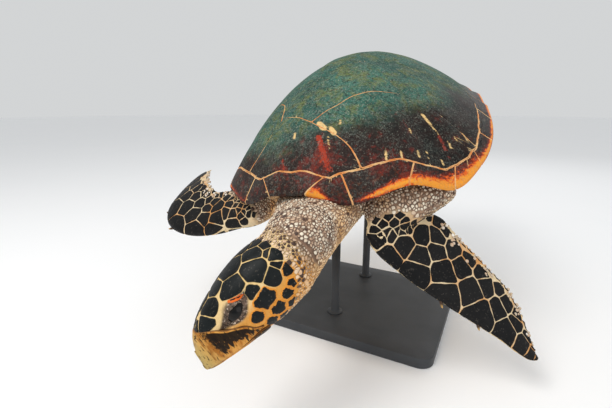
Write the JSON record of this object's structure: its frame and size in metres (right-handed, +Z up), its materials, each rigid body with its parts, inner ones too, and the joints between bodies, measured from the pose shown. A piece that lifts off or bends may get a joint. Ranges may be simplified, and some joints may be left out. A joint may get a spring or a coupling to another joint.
{
  "type": "hawksbill sea turtle",
  "caption": "Life-size hawksbill sea turtle swimming nose down, with plated shell, scaled head and flippers, held above a flat base by short rods.",
  "frame": {"origin": "middle of the underside of the stand's base", "axes": "+Z up; the turtle's head points toward -Y and its left side toward +X; the animal is pitched nose down by 17.2 degrees and rolled 7.4 degrees, left side high"},
  "size_m": [0.7291, 0.9714, 0.5609],
  "materials": {
    "back_plates": "dark tortoiseshell horn, worn satin, with thin pale seams and a film of green-grey algae",
    "rim_plates": "tortoiseshell horn with orange and amber flames along the free edge",
    "belly_plates": "pale amber horn, satin",
    "skin": "wrinkled skin set with small pale bead-like scales",
    "scaled_skin": "large charcoal scales with thin cream and orange skin between them",
    "beak": "amber horn with dark ragged streaks",
    "eyes": "wet, near-black",
    "claws": "brown horn",
    "stand": "satin black paint"
  },
  "bodies": {
    "root": {"shell_nuchal_plate": "rim_plates", "shell_rim_plates_front_left": "rim_plates", "shell_rim_plates_bridge_left": "rim_plates", "shell_rim_plates_rear_left": "rim_plates", "shell_rim_plates_front_right": "rim_plates", "shell_rim_plates_bridge_right": "rim_plates", "shell_rim_plates_rear_right": "rim_plates", "shell_vertebral_plate_1": "back_plates", "shell_vertebral_plate_2": "back_plates", "shell_vertebral_plate_3": "back_plates", "shell_vertebral_plate_4": "back_plates", "shell_vertebral_plate_5": "back_plates", "shell_costal_plate_1_left": "back_plates", "shell_costal_plate_2_left": "back_plates", "shell_costal_plate_3_left": "back_plates", "shell_costal_plate_4_left": "back_plates", "shell_costal_plate_1_right": "back_plates", "shell_costal_plate_2_right": "back_plates", "shell_costal_plate_3_right": "back_plates", "shell_costal_plate_4_right": "back_plates", "trunk": "skin", "plastron_gular_plates": "belly_plates", "plastron_humeral_plates": "belly_plates", "plastron_pectoral_plates": "belly_plates", "plastron_abdominal_plates": "belly_plates", "plastron_femoral_plates": "belly_plates", "plastron_anal_plates": "belly_plates", "shell_bridge_plates_left": "belly_plates", "shell_bridge_plates_right": "belly_plates", "head": "scaled_skin", "beak_upper": "beak", "beak_lower": "beak", "eye_left": "eyes", "eye_right": "eyes", "neck": "skin", "tail": "skin", "flipper_front_arm_left": "skin", "flipper_front_blade_left": "scaled_skin", "flipper_front_arm_right": "skin", "flipper_front_blade_right": "scaled_skin", "flipper_hind_left": "scaled_skin", "flipper_hind_right": "scaled_skin", "flipper_front_left_claw_1": "claws", "flipper_front_left_claw_2": "claws", "flipper_front_right_claw_1": "claws", "flipper_front_right_claw_2": "claws", "flipper_hind_left_claw_1": "claws", "flipper_hind_left_claw_2": "claws", "flipper_hind_right_claw_1": "claws", "flipper_hind_right_claw_2": "claws", "stand_base": "stand", "stand_rod_front": "stand", "stand_rod_rear": "stand"}
  },
  "joints": []
}
